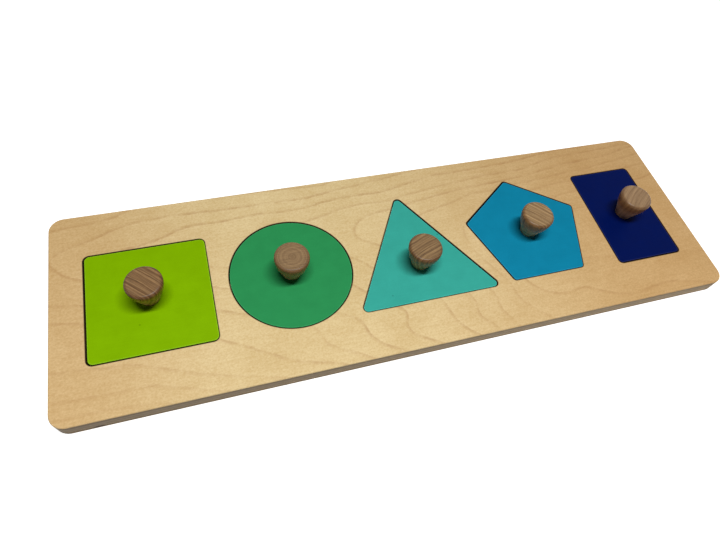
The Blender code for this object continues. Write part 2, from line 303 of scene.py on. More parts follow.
class PuzzleStageSettings(bpy.types.PropertyGroup):
    """The floor, the lamp and the camera."""

    floor: colour_setting("Floor", "E8E8E8", "The pale floor under the board")
    floor_glow: number_setting(
        "Floor glow", 0.75, "White that the camera sees over the light on the near floor", min=0.0, max=1.0
    )
    surround: number_setting("Surround", 0.03, "Strength of the even light from all round", min=0.0, max=2.0)
    lamp: number_setting("Lamp", 13.1, "Power of the long soft lamp above the board", min=0.0, unit="POWER")
    lamp_length: length_setting("Lamp length", 0.68, "Length of the lamp, which hangs along the board")
    lamp_width: length_setting("Lamp width", 0.13, "Width of the lamp")
    lens: number_setting(
        "Lens", 26.944, "Focal length of the camera", min=1.0, subtype="DISTANCE_CAMERA", unit="CAMERA"
    )


SETTINGS = {
    "puzzle_board": PuzzleBoardSettings,
    "puzzle_tiles": PuzzleTileSettings,
    "puzzle_knobs": PuzzleKnobSettings,
    "puzzle_screws": PuzzleScrewSettings,
    "puzzle_stage": PuzzleStageSettings,
}


class Cutout:
    """One cut-out: its centre, its sharp corners or its radius, and how its tile lies in it."""

    def __init__(self, name, paint_slot, centre, corners, radius, tile_shift):
        self.name = name
        self.paint_slot = paint_slot
        self.body = name + "_piece"
        self.centre = Vector(centre)
        self.corners = corners
        self.radius = radius
        self.tile_shift = Vector(tile_shift)

    def outline(self, inset=0.0):
        """Points round the cut-out, anticlockwise, drawn in by the inset."""
        if self.corners:
            return [self.centre + point for point in rounded_polygon(self.corners, self.radius, inset)]
        return circle(self.radius - inset, CIRCLE_STEPS, self.centre)

    def tile_outline(self, inset):
        return [self.tile_shift + point for point in self.outline(inset)]

    def tile_centre(self):
        return self.centre + self.tile_shift


def circle(radius, steps, centre=Vector((0.0, 0.0))):
    turns = [math.tau * step / steps for step in range(steps)]
    return [centre + Vector((radius * math.cos(turn), radius * math.sin(turn))) for turn in turns]


def regular_corners(count, radius):
    """The corners of a regular polygon that stands with one corner towards +Y."""
    turns = [math.tau * (index / count + 0.25) for index in range(count)]
    return [Vector((math.cos(turn), math.sin(turn))) * radius for turn in turns]


def rectangle_corners(width, depth):
    signs = ((-1, -1), (1, -1), (1, 1), (-1, 1))
    return [Vector((x * width / 2, y * depth / 2)) for x, y in signs]


def rounded_polygon(corners, radius, inset):
    """Points round a polygon with arcs at its corners, drawn in by the inset."""
    centres = []
    arcs = []
    for index, corner in enumerate(corners):
        before = (corners[index - 1] - corner).normalized()
        after = (corners[(index + 1) % len(corners)] - corner).normalized()
        half_angle = before.angle(after) / 2
        inwards = (before + after).normalized()
        centre = corner + inwards * radius / math.sin(half_angle)
        spoke = (corner + before * radius / math.tan(half_angle) - centre) * (radius - inset) / radius
        sweep = math.pi - 2 * half_angle
        turns = [Matrix.Rotation(sweep * step / CORNER_STEPS, 2) for step in range(CORNER_STEPS + 1)]
        centres.append(centre)
        arcs.append([centre + turn @ spoke for turn in turns])
    points = []
    for index, arc in enumerate(arcs):
        pieces = max(1, round((centres[index] - centres[index - 1]).length / SIDE_STEP))
        points += [arcs[index - 1][-1].lerp(arc[0], piece / pieces) for piece in range(1, pieces)]
        points += arc
    return points


# Centres, sizes and corner radii are the CAD model's. The last pair is how far the tile lies off centre.
CUTOUTS = (
    Cutout("square", "lime_paint", (-0.1488056, 0.0), rectangle_corners(0.0671, 0.0671), 0.0035,
           (0.00030, 0.00006)),
    Cutout("round", "green_paint", (-0.0697556, 0.0), None, 0.0359, (0.0, -0.00009)),
    Cutout("triangle", "teal_paint", (0.0075116, -0.0089), regular_corners(3, 0.0896 / math.sqrt(3)), 0.0030,
           (-0.00018, -0.00024)),
    Cutout("pentagon", "blue_paint", (0.0855869, 0.0), regular_corners(5, 0.04145), 0.0025,
           (0.00030, -0.00018)),
    Cutout("rectangle", "navy_paint", (0.1589556, 0.0), rectangle_corners(0.0468, 0.0730), 0.0030,
           (0.0, 0.00021)),
)


class GrowthField:
    """A smooth field over the board that takes each traced line's number along that line."""

    # The figure runs along X, so distances across it count double
    STRETCH = np.array([10.0, 20.0])
    # Lengths in millimetres: a line's stretches are cut into steps, but long ones into few pieces
    TRACE_STEP = 12.0
    LONGEST_CHORD = 45.0
    CHORD_PIECES = 3
    SMOOTHING = 2e-4
    # Keeps the logarithm finite at a knot
    LEAST_SQUARE = 1e-12
    SLOPE_STEP = 0.4 * MILLIMETRE

    def __init__(self, lines):
        places = []
        numbers = []
        for number, line in lines:
            line = np.array(line)
            for start, end in zip(line, line[1:]):
                reach = np.linalg.norm(end - start)
                pieces = max(1, int(reach / self.TRACE_STEP))
                if reach > self.LONGEST_CHORD:
                    pieces = self.CHORD_PIECES
                for piece in range(pieces):
                    places.append(start + (end - start) * piece / pieces)
                    numbers.append(number)
            places.append(line[-1])
            numbers.append(number)
        self.knots = np.array(places) * MILLIMETRE * self.STRETCH
        count = len(self.knots)
        bending = self.bend(self.knots) + np.eye(count) * self.SMOOTHING
        flat = np.hstack([np.ones((count, 1)), self.knots])
        system = np.block([[bending, flat], [flat.T, np.zeros((3, 3))]])
        self.weights = np.linalg.solve(system, np.append(numbers, np.zeros(3)))

    def bend(self, points):
        """The thin plate's response at each point to a push at each knot."""
        squared = ((points[:, None] - self.knots[None]) ** 2).sum(-1)
        return squared * np.log(np.maximum(squared, self.LEAST_SQUARE)) / 2

    def at(self, places):
        points = places * self.STRETCH
        return self.bend(points) @ self.weights[:-3] + self.weights[-3] + points @ self.weights[-2:]

    def steepness(self, places):
        """Growth rings for each metre across the lines."""
        here = self.at(places)
        along = self.at(places + np.array([self.SLOPE_STEP, 0.0])) - here
        across = self.at(places + np.array([0.0, self.SLOPE_STEP])) - here
        return np.hypot(along, across) / self.SLOPE_STEP


class Sheet:
    """A mesh that is put together from rings round upright walls and from flat faces between them."""

    def __init__(self):
        self.shape = bmesh.new()

    def ring(self, points, height):
        return [self.shape.verts.new((point.x, point.y, height)) for point in points]

    def rings(self, outline, profile):
        """A ring for each (inset, height) pair, round the points that the outline gives for the inset."""
        return [self.ring(outline(inset), height) for inset, height in profile]

    def wall(self, rings, slot, smooth=True):
        """Joins each ring to the next with quads. An anticlockwise outline faces outwards going up."""
        for lower, upper in zip(rings, rings[1:]):
            for index, vertex in enumerate(lower):
                beside = (index + 1) % len(lower)
                face = self.shape.faces.new((vertex, lower[beside], upper[beside], upper[index]))
                face.material_index = slot
                face.smooth = smooth

    def flat(self, loops, slot, upwards=True, grid=None):
        """Fills the first loop except for the others, with triangles, over a grid of points if given."""
        vertices = [vertex for loop in loops for vertex in loop]
        coordinates = [Vector(vertex.co[:2]) for vertex in vertices]
        ends = np.cumsum([len(loop) for loop in loops]).tolist()
        outlines = [list(range(end - len(loop), end)) for end, loop in zip(ends, loops)]
        edges = [edge for outline in outlines for edge in zip(outline[-1:] + outline, outline)]
        if grid:
            low = np.min(coordinates, axis=0)
            high = np.max(coordinates, axis=0)
            xs, ys = np.meshgrid(*(np.arange(*span, grid) for span in zip(low + grid / 2, high)))
            places = np.column_stack([xs.ravel(), ys.ravel()])
            for outline in outlines:
                away = distance_to_outline(places, [coordinates[index] for index in outline])
                places = places[away > GRID_MARGIN * grid]
            coordinates += [Vector(spot) for spot in places]
        found, _, triangles, sources, _, owners = delaunay_2d_cdt(
            coordinates, edges, outlines, 0, WELD_DISTANCE
        )
        height = loops[0][0].co.z
        placed = {}
        for triangle, owner in zip(triangles, owners):
            # A triangle in a hole belongs to the hole's outline as well
            if owner != [0]:
                continue
            for index in triangle:
                if index not in placed:
                    kept = [source for source in sources[index] if source < len(vertices)]
                    placed[index] = (
                        vertices[kept[0]] if kept else self.shape.verts.new((*found[index], height))
                    )
            order = triangle if upwards else triangle[::-1]
            face = self.shape.faces.new([placed[index] for index in order])
            face.material_index = slot

    def finished(self, name, materials):
        """The object of this mesh. Raises an error if the mesh isn't closed."""
        open_edges = [edge for edge in self.shape.edges if not edge.is_manifold]
        if open_edges:
            raise RuntimeError(f"{name} has {len(open_edges)} open edges")
        mesh = bpy.data.meshes.new(name)
        self.shape.to_mesh(mesh)
        self.shape.free()
        for material in materials:
            mesh.materials.append(material)
        return place(name, mesh)


def place(name, data):
    made = bpy.data.objects.new(name, data)
    bpy.context.scene.collection.objects.link(made)
    return made


def finish_piece(piece, body, node):
    """Hangs a piece on its body, in the place of the frame's node."""
    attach(piece, body)
    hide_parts(node)


def eased(inset, ease, height, rise=1.0, steps=EASE_STEPS):
    """Pairs of (inset, height) round an eased edge, from the wall to the flat face."""
    turns = [math.pi / 2 * step / steps for step in range(steps + 1)]
    return [
        (inset + ease * (1 - math.cos(turn)), height + rise * ease * math.sin(turn)) for turn in turns
    ]


def distance_to_outline(places, outline):
    """The least distance from each place to the sides of an outline."""
    least = np.full(len(places), np.inf)
    for start, end in zip(outline, outline[1:] + outline[:1]):
        side = np.array(end - start)
        away = places - np.array(start)
        share = np.clip(away @ side / (side @ side), 0.0, 1.0)
        least = np.minimum(least, np.linalg.norm(away - share[:, None] * side, axis=1))
    return least


def cross(span, width):
    """Points round a cross with two arms of that span and width, anticlockwise."""
    reach = span / 2
    half = width / 2
    quarter = [Vector((reach, -half)), Vector((reach, half)), Vector((half, half))]
    return [Matrix.Rotation(math.pi / 2 * turn, 2) @ point for turn in range(4) for point in quarter]


def thread_section(settings, height, start, length):
    """Points round the shank at one height, where the thread winds past."""
    lead_in = min(1.0, (height - start) / settings.thread_pitch)
    taper = min(1.0, (length - height) / settings.tip_length)
    points = []
    for step in range(SCREW_STEPS):
        turn = math.tau * step / SCREW_STEPS
        wound = (height / settings.thread_pitch - step / SCREW_STEPS) % 1.0
        crest = max(0.0, 1.0 - THREAD_SHARPNESS * abs(2 * wound - 1))
        radius = settings.core_radius + (settings.thread_radius - settings.core_radius) * crest * lead_in
        radius = max(radius * taper, TIP_RADIUS)
        points.append(Vector((radius * math.cos(turn), radius * math.sin(turn))))
    return points


def write_values(mesh, name, values):
    attribute = mesh.attributes.new(name, "FLOAT", "POINT")
    attribute.data.foreach_set("value", np.asarray(values, dtype=np.float32))


def mesh_places(mesh):
    places = np.empty(len(mesh.vertices) * 3)
    mesh.vertices.foreach_get("co", places)
    return places.reshape(-1, 3)


def write_figure(mesh, field, shift=(0.0, 0.0), turn=1.0, toasted=None):
    """Gives a board's vertices the ring number, the rings' width, the line's depth and the toasting."""
    places = mesh_places(mesh)[:, :2] * np.array([turn, 1.0]) + np.array(shift)
    batches = np.array_split(places, PLACE_BATCHES)
    numbers = np.concatenate([field.at(batch) for batch in batches])
    steepness = np.concatenate([field.steepness(batch) for batch in batches])
    write_values(mesh, "ring_number", numbers)
    write_values(mesh, "ring_width", 1 / np.maximum(steepness, 1 / WIDEST_RING))
    write_values(mesh, "line_depth", np.interp(numbers, LINE_NUMBERS, LINE_DEPTHS))
    write_values(mesh, "toasted", np.zeros(len(places)) if toasted is None else toasted)


def add_node(tree, kind, *values, named=None, **settings):
    """Adds a shader node of a kind, which a word for its mode may follow, as in "Mix RGBA".

    Its inputs in use take the values in order, each a plain value, a socket or another node.
    """
    kind, _, mode = kind.partition(" ")
    node = tree.nodes.new("ShaderNode" + kind)
    if mode:
        settings[MODES[kind]] = mode
    for name, value in settings.items():
        setattr(node, name, value)
    given = list(zip([socket for socket in node.inputs if socket.enabled], values))
    given += [(node.inputs[name], value) for name, value in (named or {}).items()]
    for socket, value in given:
        if isinstance(value, bpy.types.Node):
            # A node stands for its first output in use
            value = next(output for output in value.outputs if output.enabled)
        if isinstance(value, bpy.types.NodeSocket):
            tree.links.new(value, socket)
        else:
            socket.default_value = value
    return node


def new_material(name):
    """A material with an empty tree, what adds a node to the tree, and the object's own coordinates."""
    material = bpy.data.materials.new(name)
    material.use_nodes = True
    material.node_tree.nodes.clear()
    add = partial(add_node, material.node_tree)
    return material, add, add("TexCoord").outputs["Object"]


def pattern(add, point, lengths, detail, roughness=0.5):
    """Noise whose features are as long as the given lengths, in millimetres along X, Y and Z."""
    scale = [1 / (length * MILLIMETRE) for length in lengths]
    stretched = add("Mapping", point, named={"Scale": scale})
    return add("TexNoise", stretched, 1.0, detail, roughness)


def layered(add, light, *layers):
    """Multiplies a light factor by patterns, each given with its darkest and its lightest factor."""
    for layer, darkest, lightest in layers:
        factor = add("MapRange", layer, *NOISE_SPAN, darkest, lightest)
        light = add("Math MULTIPLY", light, factor)
    return light


def finish_surface(add, colour, roughness, relief, strength, height, **shine):
    """Ends a material with its relief, of the height in millimetres at full strength, and its shader."""
    bump = add("Bump", named={"Height": relief, "Strength": strength, "Distance": height * MILLIMETRE})
    shine = {name.replace("_", " "): value for name, value in shine.items()}
    shader = add("BsdfPrincipled", named={
        "Base Color": colour, "Roughness": roughness, "Normal": bump, **shine,
    })
    add("OutputMaterial", shader)


def face_veneer(settings):
    """Maple face veneer, peeled, sanded and lacquered matt."""
    # Pale, with sparse brown growth lines in long bends, short silky fibres and fine bright flecks
    material, add, point = new_material("sanded_maple_veneer")
    number, width, depth, toasted = (
        add("Attribute", attribute_name=name).outputs["Fac"]
        for name in ("ring_number", "ring_width", "line_depth", "toasted")
    )

    # The lines wander by about a millimetre over 15 mm, as a peeled sheet's do
    wander = pattern(add, point, (15, 15, 15), 6.0, 0.65)
    wander_distance = add("MapRange", wander, 0.0, 1.0, -LINE_WANDER, LINE_WANDER)
    wander_rings = add("Math DIVIDE", wander_distance, width)
    ring = add("Math ADD", number, wander_rings)
    share = add("Math FRACT", ring)
    share_left = add("Math SUBTRACT", 1.0, share)
    past_line = add("Math MULTIPLY", share, width)
    to_line = add("Math MULTIPLY", share_left, width)
    # The colour deepens over 2 mm towards the line and drops off within a millimetre behind it
    rising = add("MapRange SMOOTHERSTEP", to_line, 0.0, LINE_RISE, 1.0, 0.0)
    falling = add("MapRange SMOOTHSTEP", past_line, 0.0, LINE_FALL, 1.0, 0.0)
    line = add("Math MAXIMUM", rising, falling)
    # A line comes and goes along its length, over about 8 mm
    patches = pattern(add, point, (8, 8, 8), 5.0, 0.65)
    patch_depth = add("MapRange", patches, 0.36, 0.66, 0.04, 0.48)
    line_depth = add("Math MULTIPLY", patch_depth, depth)
    line_seen = add("Math MULTIPLY", line, line_depth)

    # Fibres run along X in bundles about 20 mm long, and are drawn 1.4 mm apart so that they show
    fibres = pattern(add, point, (20, 1.4, 1.4), 4.0, 0.65)
    # Ray flecks of 0.3 mm are drawn about 0.8 mm long, the finest that shows
    flecks = pattern(add, point, (1.0, 0.8, 0.8), 2.0, 0.6)
    clouds = pattern(add, point, (30, 30, 30), 5.0, 0.6)
    ring_light = add("MapRange", share, 0.0, 1.0, 1.015, 0.975)
    light = layered(add, ring_light, (fibres, 0.94, 1.05), (flecks, 0.88, 1.12), (clouds, 0.92, 1.08))

    # Palest left of the middle, as a painted pool of light, and darker and warmer towards both ends: partly
    # the wood's own tone, partly painted shade where the light falls off
    along = add("SeparateXYZ", point).outputs["X"]
    from_painted_light_peak = add("Math SUBTRACT", along, PAINTED_LIGHT_PEAK_X)
    left_shade_and_warmth, right_shade_and_warmth = (
        add("MapRange SMOOTHSTEP", from_painted_light_peak, *stretch)
        for stretch in ((-0.02, -0.13, 0.0, 0.7), (0.03, 0.25, 0.0, 1.0))
    )
    end_shade_and_warmth = add("Math MAXIMUM", left_shade_and_warmth, right_shade_and_warmth)
    wood = add("Mix RGBA", end_shade_and_warmth, settings.face, settings.face_shaded_warm)
    # Darker wood is also more orange
    lightness = add("MapRange", light, 0.8, 1.2)
    shade = add("Mix RGBA", lightness, VENEER_DARK, VENEER_LIGHT)
    lit_wood = add("VectorMath MULTIPLY", wood, shade)
    lined_wood = add("Mix RGBA", line_seen, lit_wood, settings.growth_line)
    toasting = add("MapRange", toasted, 0.0, 1.0, 0.0, 0.7)
    toasted_wood = add("Mix RGBA", toasting, lined_wood, settings.burnt)
    roughness = add("MapRange", flecks, *NOISE_SPAN, 0.5, 0.62)
    # Open fibres stand proud after sanding, and the lacquer softens them
    finish_surface(
        add, toasted_wood, roughness, fibres, 0.35, 0.04, IOR=WOOD_IOR, Specular_IOR_Level=0.2
    )
    return material


def ply_edge(settings):
    """The board's sawn and sanded edge: crossed plies with glue between them."""
    # Tan bands that take turns between long streaks and short dark speckles, with thin brown glue lines
    material, add, point = new_material("sanded_plywood_edge")
    spot = add("SeparateXYZ", point).outputs
    round_board = add("Math ADD", spot["X"], spot["Y"])
    up_board = add("Math DIVIDE", spot["Z"], FRAME_HIGH.z)
    plies = add("ValToRGB", up_board)
    plies.color_ramp.interpolation = "CONSTANT"
    stops = plies.color_ramp.elements
    while len(stops) < len(PLY_BANDS):
        stops.new(GLUE_SHADE)
    for stop, (height, shade) in zip(stops, PLY_BANDS):
        stop.position = height
        stop.color = (shade, shade, shade, 1.0)
    facing = add("NewGeometry").outputs["True Normal"]
    facing_end = add("SeparateXYZ", facing).outputs["X"]
    end_share = add("Math ABSOLUTE", facing_end)
    at_end = add("MapRange", end_share, 0.55, 0.85)
    crossed = add("Math SUBTRACT", plies, at_end)
    long_grain = add("Math ABSOLUTE", crossed)
    at_glue = add("Math COMPARE", plies, GLUE_SHADE, 0.2)

    along_edge = add("CombineXYZ", round_board, 0.0, spot["Z"])
    streaks = pattern(add, along_edge, (11, 1000, 0.5), 4.0, 0.6)
    speckles = pattern(add, along_edge, (0.7, 0.7, 0.7), 3.0, 0.7)
    long_light = layered(add, 1.0, (streaks, 0.86, 1.1))
    end_light = layered(add, 1.0, (speckles, 0.84, 1.1))
    long_wood = add("VectorMath SCALE", settings.ply_long[:3], long_light)
    end_wood = add("VectorMath SCALE", settings.ply_end[:3], end_light)
    wood = add("Mix RGBA", long_grain, end_wood, long_wood)
    # Painted light: the edge is darker and browner towards the square's end and lighter towards the other, as
    # light from the right front would fall on it
    tone = add("MapRange", spot["X"], FRAME_LOW.x, FRAME_HIGH.x, 0.74, 1.38)
    painted_light_wood = add("VectorMath SCALE", wood, tone)
    glue_share = add("Math MULTIPLY", at_glue, 0.3)
    glued = add("Mix RGBA", glue_share, painted_light_wood, linear_colour("4A3624"))
    # A pin knot in the backing, 6 mm long, shows low on the front edge near the left corner
    from_knot = add("VectorMath SUBTRACT", point, KNOT_PLACE)
    knot_share = add("VectorMath DIVIDE", from_knot, KNOT_REACH)
    knot_distance = add("VectorMath LENGTH", knot_share)
    knot = add("MapRange SMOOTHSTEP", knot_distance, 0.5, 1.1, 0.9, 0.0)
    knotted = add("Mix RGBA", knot, glued, linear_colour("2E1A10"))
    finish_surface(add, knotted, 0.7, speckles, 0.4, 0.06, IOR=WOOD_IOR, Specular_IOR_Level=0.25)
    return material


def laser_cut_wall(settings):
    """Plywood cut by a laser: charred walls with the beam's upright ripples."""
    # Brown-black and dull, with upright ripples half a millimetre apart and slightly paler plies
    material, add, point = new_material("laser_cut_plywood")
    ripples = pattern(add, point, (0.5, 0.5, 8), 3.0, 0.6)
    bands = pattern(add, point, (30, 30, 1.5), 2.0)
    paleness = add("Math MULTIPLY", ripples, bands)
    pale_share = add("MapRange", paleness, 0.18, 0.42, 0.0, 0.5)
    wood = add("Mix RGBA", pale_share, settings.burnt, linear_colour("6B4A30"))
    finish_surface(add, wood, 0.8, ripples, 0.6, 0.1, IOR=WOOD_IOR, Specular_IOR_Level=0.2)
    return material


def tile_paint(name, colour, nicks):
    """Water-based satin paint, sprayed in thin coats on sanded wood."""
    # An even, dense colour with a soft sheen, faintly mottled, and paler along its eased top edge, a painted
    # highlight
    material, add, point = new_material(f"satin_paint_on_wood_{name}")
    mottle = pattern(add, point, (9, 9, 9), 4.0, 0.55)
    # Spray texture of about 0.6 mm
    spray = pattern(add, point, (0.6, 0.6, 0.6), 2.0)
    # The wood's fibres still show through the paint as faint ridges along X
    fibres = pattern(add, point, (15, 0.7, 1000), 3.0, 0.6)
    light = layered(add, 1.0, (mottle, 0.96, 1.04), (spray, 0.98, 1.02), (fibres, 0.98, 1.02))
    paint = add("VectorMath SCALE", colour[:3], light)
    # Painted highlight: the eased top edge is painted paler, where it would catch the light
    rim = add("Attribute", attribute_name="rim").outputs["Fac"]
    highlight_share = add("MapRange", rim, 0.0, 1.0, 0.0, 0.3)
    pale = [min(1.0, channel * 1.7 + 0.05) for channel in colour]
    highlighted_and_nicked = add("Mix RGBA", highlight_share, paint, pale)
    # Small dark nicks from use
    dark = [channel * 0.3 for channel in colour]
    for spot, reach in nicks:
        distance = add("VectorMath DISTANCE", point, spot)
        nick = add("MapRange", distance, reach * 0.4, reach, 0.5, 0.0)
        highlighted_and_nicked = add("Mix RGBA", nick, highlighted_and_nicked, dark)
    roughness = add("MapRange", mottle, *NOISE_SPAN, 0.36, 0.46)
    relief = add("Math ADD", spray, fibres)
    finish_surface(add, highlighted_and_nicked, roughness, relief, 0.15, 0.03, IOR=WOOD_IOR, Specular_IOR_Level=0.025)
    return material


def turned_beech(name, wood):
    """Steamed beech turned along its fibres, so that the flat head is end grain."""
    # Brown growth rings as stripes across the head, upright streaks and short ray flecks on the flank
    material, add, point = new_material(f"turned_steamed_beech_{name}")
    # X runs along the stripes and Y across them
    turn = (0.0, 0.0, -math.radians(wood.stripe_turn))
    across = add("Mapping", point, named={"Rotation": turn})
    from_pith = add("Mapping", across, (0.0, wood.pith_distance, 0.0), named={"Scale": (wood.bend, 1.0, 0.0)})
    reach = add("VectorMath LENGTH", from_pith)
    # Rings of uneven widths, that wander by a quarter of their spacing
    wander = pattern(add, across, (12, 4, 12), 2.0)
    drift = add("MapRange", wander, 0.0, 1.0, -wood.ring_spacing / 2, wood.ring_spacing / 2)
    drifted = add("Math ADD", reach, drift)
    ring_number = add("Math DIVIDE", drifted, wood.ring_spacing)
    rings = add("TexNoise", ring_number, 1.0, 3.0, 0.6, noise_dimensions="1D")
    ring_shade = add("MapRange", rings, 0.35, 0.62, 0.5 - wood.contrast / 2, 0.5 + wood.contrast / 2)
    ringed = add("Mix RGBA", ring_shade, linear_colour(wood.pale), linear_colour(wood.dark))
    # Rays: short dark flecks across the rings on the head, and upright on the flank
    rays = pattern(add, across, (0.7, 2.2, 3.0), 2.0, 0.6)
    # Streaks follow the rings; 0.2 mm ones are drawn 0.6 mm wide, the finest that shows
    fibres = pattern(add, across, (9, 0.6, 8), 4.0, 0.65)
    # Fibres seen from the side, on the flank, are paler than cut ends, and the flank is lightened further by
    # painted light
    facing = add("TexCoord").outputs["Normal"]
    facing_up = add("SeparateXYZ", facing).outputs["Z"]
    side_grain_and_light = add("MapRange", facing_up, 0.0, 0.35, SIDE_GRAIN_AND_LIGHT_TONE, 1.0)
    light = layered(add, side_grain_and_light, (rays, 0.93, 1.06), (fibres, 1 - wood.streaks, 1 + wood.streaks))
    lit_wood = add("VectorMath SCALE", ringed, light)
    # The rounded rim is darker and redder: painted shade where the rim turns away from the light, partly a
    # tint rubbed in by sanding on the lathe and by hands
    from_axis = add("VectorMath MULTIPLY", point, (1.0, 1.0, 0.0))
    radius = add("VectorMath LENGTH", from_axis)
    rubbed_and_shaded = add("MapRange SMOOTHSTEP", radius, RUBBED_AND_SHADED_FROM, RUBBED_AND_SHADED_TO)
    rim_shade_colour = add("VectorMath MULTIPLY", lit_wood, RUBBED_AND_SHADED_TINT)
    rubbed_and_shaded_wood = add("Mix RGBA", rubbed_and_shaded, lit_wood, rim_shade_colour)
    roughness = add("MapRange", rays, *NOISE_SPAN, 0.34, 0.5)
    polish = add("Mix", rubbed_and_shaded, roughness, RUBBED_ROUGHNESS)
    finish_surface(add, rubbed_and_shaded_wood, polish, fibres, 0.5, 0.08, IOR=WOOD_IOR, Specular_IOR_Level=0.22)
    return material


def zinc_plating(settings):
    """Bright zinc plating on a cold-formed steel screw."""
    # A clear bluish metal shine, a little cloudy
    material, add, point = new_material("bright_zinc_plating")
    clouds = pattern(add, point, (1.2, 1.2, 1.2), 4.0, 0.6)
    shine = add("MapRange", clouds, *NOISE_SPAN, 0.22, 0.4)
    tone = layered(add, 1.0, (clouds, 0.9, 1.04))
    metal = add("VectorMath SCALE", settings.plating[:3], tone)
    finish_surface(add, metal, shine, clouds, 0.2, 0.03, Metallic=1.0)
    return material


def seen_directly(add):
    """1 where the camera sees a surface, also in a mirror or through glass, and 0 where it only lights."""
    path = add("LightPath").outputs
    seen = path["Is Camera Ray"]
    for way in ("Is Glossy Ray", "Is Transmission Ray"):
        seen = add("Math MAXIMUM", seen, path[way])
    return seen


def pale_floor(settings):
    """A pale painted studio floor."""
    # Even and matt; the camera sees it white, with the board's own soft shadow on it
    material, add, point = new_material("matt_painted_floor")
    mottle = pattern(add, point, (20, 20, 20), 3.0)
    tone = add("MapRange", mottle, 0.0, 1.0, 0.99, 1.01)
    paint = add("VectorMath SCALE", settings.floor[:3], tone)
    matt = add("BsdfDiffuse", paint, 0.5)
    distance = add("VectorMath LENGTH", point)
    strength = add("MapRange", distance, FLOOR_NEAR, FLOOR_FAR, settings.floor_glow, 1.0)
    seen = add("Math MULTIPLY", seen_directly(add), strength)
    glow = add("Emission", linear_colour("FFFFFF"), seen)
    both = add("AddShader", matt, glow)
    add("OutputMaterial", both)
    return material


class PUZZLE_OT_board(bpy.types.Operator):
    """Build the frame with its five cut-outs and the backing glued under it"""

    bl_idname = "shape_puzzle.board"
    bl_label = "Board"

    def execute(self, context):
        settings = context.scene.puzzle_board
        materials = [face_veneer(settings), ply_edge(settings), laser_cut_wall(settings)]
        corners = rectangle_corners(*(FRAME_HIGH - FRAME_LOW)[:2])
        outline = partial(rounded_polygon, corners, settings.corner_radius)
        ease = settings.edge_ease
        low = BACKING_HIGH.z + GLUE_LINE
        high = FRAME_HIGH.z
        field = GrowthField(GROWTH_LINES)

        sheet = Sheet()
        rings = sheet.rings(outline, [(0.0, low), *eased(0.0, ease, high - ease)])
        sheet.wall(rings[:2], 1)
        sheet.wall(rings[1:], 0)
        tops = [rings[-1]]
        bottoms = [rings[0]]
        for cutout in CUTOUTS:
            cut = sheet.rings(cutout.outline, (
                (-settings.toasted_width, high), (-settings.cut_ease, high),
                (0.0, high - settings.cut_ease), (0.0, low),
            ))
            sheet.wall(cut[:2], 0, smooth=False)
            sheet.wall(cut[1:], 2)
            tops.append(cut[0])
            bottoms.append(cut[-1])
        sheet.flat(tops, 0, grid=FACE_GRID)
        sheet.flat(bottoms, 0, upwards=False)
        board = sheet.finished("board_frame", materials)
        places = mesh_places(board.data)
        away = np.min([distance_to_outline(places[:, :2], cutout.outline()) for cutout in CUTOUTS], axis=0)
        toasted = np.clip(1.0 - away / settings.toasted_width, 0.0, 1.0)
        write_figure(board.data, field, toasted=toasted)
        finish_piece(board, "board", "frame_board")

        sheet = Sheet()
        rings = sheet.rings(outline, [*eased(0.0, ease, ease, -1.0)[::-1], (0.0, BACKING_HIGH.z)])
        sheet.wall(rings[:-1], 0)
        sheet.wall(rings[-2:], 1)
        sheet.flat([rings[0]], 0, upwards=False, grid=HIDDEN_GRID)
        sheet.flat([rings[-1]], 0, grid=HIDDEN_GRID)
        backing = sheet.finished("board_backing", materials)
        # The backing is another sheet, so its figure is the other way round
        write_figure(backing.data, field, turn=-1.0)
        finish_piece(backing, "board", "backing_board")
        return {"FINISHED"}


class PUZZLE_OT_tiles(bpy.types.Operator):
    """Build the five painted tiles with their countersunk screw holes"""

    bl_idname = "shape_puzzle.tiles"
    bl_label = "Tiles"

    def execute(self, context):
        settings = context.scene.puzzle_tiles
        cut_ease = context.scene.puzzle_board.cut_ease
        veneer = bpy.data.materials["sanded_maple_veneer"]
        burnt = bpy.data.materials["laser_cut_plywood"]
        field = GrowthField(GROWTH_LINES)
        low = TILE_LOW.z
        high = TILE_HIGH.z
        gap = settings.clearance
        ease = settings.edge_ease
        screws = context.scene.puzzle_screws
        # The screw's head lies sunk, with the same clearance along its rim and its cone
        head_clearance = settings.head_hole - screws.head_radius
        straight = SCREW_LOW.z - low + screws.head_rim + head_clearance * (math.sqrt(2) - 1)
        cone = settings.head_hole - settings.shank_hole
        for cutout in CUTOUTS:
            paint = tile_paint(cutout.name, getattr(settings, cutout.name), NICKS.get(cutout.name, ()))
            sheet = Sheet()
            rings = sheet.rings(cutout.tile_outline, [
                (gap + cut_ease, low), (gap, low + cut_ease), *eased(gap, ease, high - ease),
                (gap + 2 * ease, high),
            ])
            sheet.wall(rings[:3], 1)
            sheet.wall(rings[2:-1], 0)
            sheet.wall(rings[-2:], 0, smooth=False)
            hole = sheet.rings(partial(circle, steps=SCREW_STEPS, centre=cutout.tile_centre()), (
                (settings.shank_hole, high), (settings.shank_hole, low + straight + cone),
                (settings.head_hole, low + straight), (settings.head_hole, low),
            ))
            sheet.wall(hole, 2)
            sheet.flat([rings[-1], hole[0]], 0)
            sheet.flat([rings[0], hole[-1]], 2, upwards=False, grid=HIDDEN_GRID)
            tile = sheet.finished(f"{cutout.name}_painted_tile", [paint, burnt, veneer])
            places = mesh_places(tile.data)
            inwards = distance_to_outline(places[:, :2], cutout.tile_outline(gap))
            # The vertices of the eased top edge carry the painted highlight
            on_highlight = (inwards < HIGHLIGHT_REACH * ease) & (places[:, 2] > high - HIGHLIGHT_REACH * ease)
            write_values(tile.data, "rim", on_highlight)
            write_figure(tile.data, field, shift=TILE_FIGURE_SHIFT)
            finish_piece(tile, cutout.body, cutout.name + "_tile")
        return {"FINISHED"}


